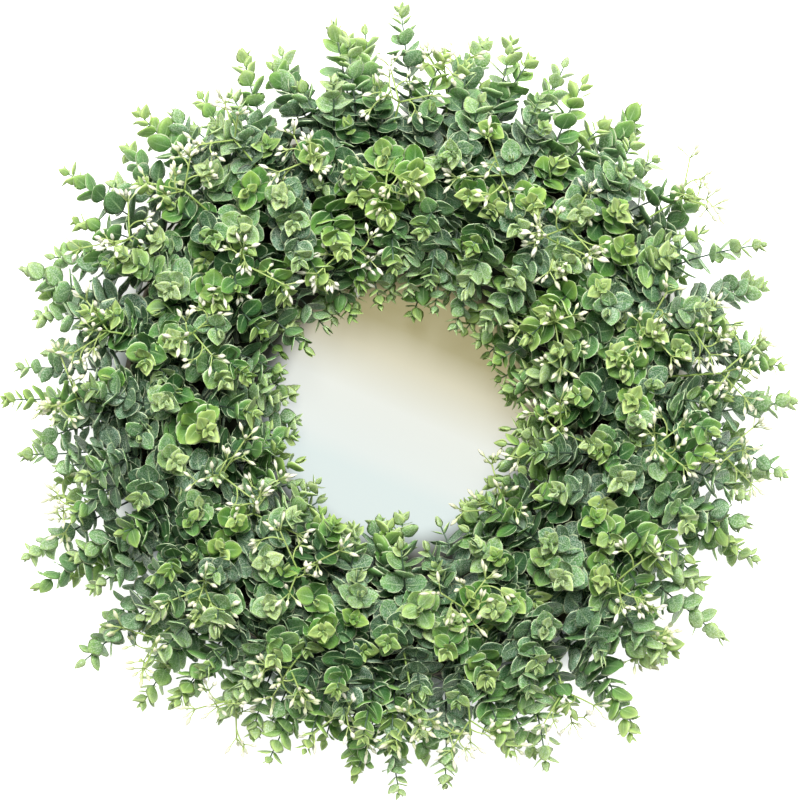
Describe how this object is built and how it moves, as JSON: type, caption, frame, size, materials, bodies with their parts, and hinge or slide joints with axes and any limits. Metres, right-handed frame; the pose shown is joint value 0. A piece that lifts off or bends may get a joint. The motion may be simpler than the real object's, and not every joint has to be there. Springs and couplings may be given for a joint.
{
  "type": "eucalyptus wreath",
  "caption": "Round wreath of moulded eucalyptus sprigs and cream seed sprays fixed on a wound grapevine ring with an open centre.",
  "frame": {"origin": "on the ring's axis, in the plane that the wreath's back lies on", "axes": "+Z out of the wreath's front, towards the viewer of the picture; +Y to the top of the picture; +X to its right"},
  "size_m": [0.5543, 0.5549, 0.1225],
  "materials": {
    "vine": "dry grey-brown bark",
    "eucalyptus": "moulded, dusted with pale flock",
    "seed_spray": "moulded, cream seeds on yellow-green stalks"
  },
  "bodies": {
    "root": {"vine_1": "vine", "vine_2": "vine", "vine_3": "vine", "vine_4": "vine", "vine_5": "vine", "vine_6": "vine", "vine_7": "vine", "vine_8": "vine", "eucalyptus_pick_01": "eucalyptus", "eucalyptus_pick_02": "eucalyptus", "eucalyptus_pick_03": "eucalyptus", "eucalyptus_pick_04": "eucalyptus", "eucalyptus_pick_05": "eucalyptus", "eucalyptus_pick_06": "eucalyptus", "eucalyptus_pick_07": "eucalyptus", "eucalyptus_pick_08": "eucalyptus", "eucalyptus_pick_09": "eucalyptus", "eucalyptus_pick_10": "eucalyptus", "eucalyptus_pick_11": "eucalyptus", "eucalyptus_pick_12": "eucalyptus", "eucalyptus_pick_13": "eucalyptus", "eucalyptus_pick_14": "eucalyptus", "eucalyptus_pick_15": "eucalyptus", "eucalyptus_pick_16": "eucalyptus", "eucalyptus_pick_17": "eucalyptus", "eucalyptus_pick_18": "eucalyptus", "eucalyptus_pick_19": "eucalyptus", "eucalyptus_pick_20": "eucalyptus", "eucalyptus_pick_21": "eucalyptus", "eucalyptus_pick_22": "eucalyptus", "eucalyptus_pick_23": "eucalyptus", "eucalyptus_pick_24": "eucalyptus", "seed_spray_01": "seed_spray", "seed_spray_02": "seed_spray", "seed_spray_03": "seed_spray", "seed_spray_04": "seed_spray", "seed_spray_05": "seed_spray", "seed_spray_06": "seed_spray", "seed_spray_07": "seed_spray", "seed_spray_08": "seed_spray", "seed_spray_09": "seed_spray", "seed_spray_10": "seed_spray", "seed_spray_11": "seed_spray", "seed_spray_12": "seed_spray"}
  },
  "joints": []
}
